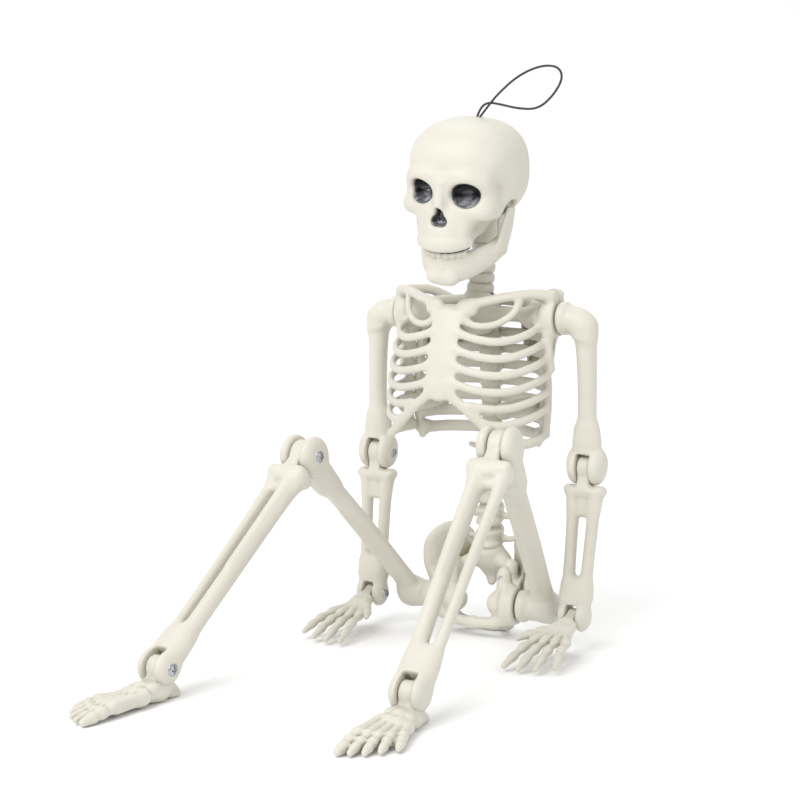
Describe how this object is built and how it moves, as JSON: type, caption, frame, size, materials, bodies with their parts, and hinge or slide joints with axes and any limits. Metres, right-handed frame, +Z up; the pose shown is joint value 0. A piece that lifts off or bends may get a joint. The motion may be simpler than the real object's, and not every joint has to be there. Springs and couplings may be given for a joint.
{
  "type": "jointed skeleton figure",
  "caption": "Jointed moulded-plastic skeleton figure for hanging or sitting, posed seated with knees up and hands on the floor, with a cord loop at the crown.",
  "frame": {"origin": "on the floor, in the middle of the flat seat under the pelvis", "axes": "+Z up, the figure looks along -Y, its own left hand is towards +X"},
  "size_m": [0.1295, 0.2149, 0.2327],
  "materials": {
    "bone_plastic": "satin moulded",
    "screw_steel": "bright plated",
    "loop_cord": "thin braided elastic cord",
    "socket_paint": "black gloss paint in the eye sockets and nose"
  },
  "bodies": {
    "torso": {"ribcage_front": "bone_plastic", "ribcage_back": "bone_plastic", "ribcage_screws": "screw_steel", "lumbar_spine": "bone_plastic", "pelvis_front": "bone_plastic", "pelvis_back": "bone_plastic", "pelvis_screws": "screw_steel", "neck": "bone_plastic"},
    "head": {"skull_front": "bone_plastic", "skull_back": "bone_plastic", "hanging_loop": "loop_cord"},
    "jaw": {"jaw": "bone_plastic"},
    "left_upper_arm": {"left_humerus": "bone_plastic", "left_elbow_screw": "screw_steel"},
    "left_lower_arm": {"left_forearm": "bone_plastic", "left_wrist_screw": "screw_steel"},
    "left_hand": {"left_hand": "bone_plastic"},
    "left_thigh": {"left_femur": "bone_plastic", "left_knee_screw": "screw_steel"},
    "left_lower_leg": {"left_shin": "bone_plastic", "left_ankle_screw": "screw_steel"},
    "left_foot": {"left_foot": "bone_plastic"},
    "right_upper_arm": {"right_humerus": "bone_plastic", "right_elbow_screw": "screw_steel"},
    "right_lower_arm": {"right_forearm": "bone_plastic", "right_wrist_screw": "screw_steel"},
    "right_hand": {"right_hand": "bone_plastic"},
    "right_thigh": {"right_femur": "bone_plastic", "right_knee_screw": "screw_steel"},
    "right_lower_leg": {"right_shin": "bone_plastic", "right_ankle_screw": "screw_steel"},
    "right_foot": {"right_foot": "bone_plastic"}
  },
  "joints": [
    {"name": "head_turn", "type": "hinge", "parent": "torso", "child": "head", "pos_m": [0, -0.0145, 0.1423], "axis": [0.0958, 0, 0.9954], "range_deg": [-45, 45]},
    {"name": "jaw_hinge", "type": "hinge", "parent": "head", "child": "jaw", "pos_m": [0.00349, -0.031, 0.17857], "axis": [0.9954, 0, -0.0958], "range_deg": [-1, 12]},
    {"name": "left_shoulder", "type": "hinge", "parent": "torso", "child": "left_upper_arm", "pos_m": [0.0365, -0.015, 0.1335], "axis": [1, 0, 0], "range_deg": [-14, 180]},
    {"name": "left_elbow", "type": "hinge", "parent": "left_upper_arm", "child": "left_lower_arm", "pos_m": [0.0479, -0.01218, 0.07377], "axis": [1, 0, 0], "range_deg": [-12, 110]},
    {"name": "left_wrist", "type": "hinge", "parent": "left_lower_arm", "child": "left_hand", "pos_m": [0.0479, -0.02248, 0.01476], "axis": [1, 0, 0], "range_deg": [-35, 70]},
    {"name": "left_hip", "type": "hinge", "parent": "torso", "child": "left_thigh", "pos_m": [0.019, -0.015, 0.0147], "axis": [0.9974, 0.0715, 0], "range_deg": [-12, 50]},
    {"name": "left_knee", "type": "hinge", "parent": "left_thigh", "child": "left_lower_leg", "pos_m": [0.03968, -0.07128, 0.08897], "axis": [0.9974, 0.0715, 0], "range_deg": [-98, 10]},
    {"name": "left_ankle", "type": "hinge", "parent": "left_lower_leg", "child": "left_foot", "pos_m": [0.04507, -0.14656, 0.012], "axis": [0.9974, 0.0715, 0], "range_deg": [-45, 20]},
    {"name": "right_shoulder", "type": "hinge", "parent": "torso", "child": "right_upper_arm", "pos_m": [-0.0365, -0.015, 0.1335], "axis": [1, 0, 0], "range_deg": [-8, 180]},
    {"name": "right_elbow", "type": "hinge", "parent": "right_upper_arm", "child": "right_lower_arm", "pos_m": [-0.0479, -0.01573, 0.0737], "axis": [1, 0, 0], "range_deg": [-15, 105]},
    {"name": "right_wrist", "type": "hinge", "parent": "right_lower_arm", "child": "right_hand", "pos_m": [-0.0479, -0.02064, 0.01401], "axis": [1, 0, 0], "range_deg": [-30, 70]},
    {"name": "right_hip", "type": "hinge", "parent": "torso", "child": "right_thigh", "pos_m": [-0.019, -0.015, 0.0147], "axis": [0.994, -0.1097, 0], "range_deg": [-20, 40]},
    {"name": "right_knee", "type": "hinge", "parent": "right_thigh", "child": "right_lower_leg", "pos_m": [-0.04287, -0.07993, 0.08047], "axis": [0.994, -0.1097, 0], "range_deg": [-84, 20]},
    {"name": "right_ankle", "type": "hinge", "parent": "right_lower_leg", "child": "right_foot", "pos_m": [-0.05201, -0.1627, 0.012], "axis": [0.994, -0.1097, 0], "range_deg": [-50, 20]}
  ]
}
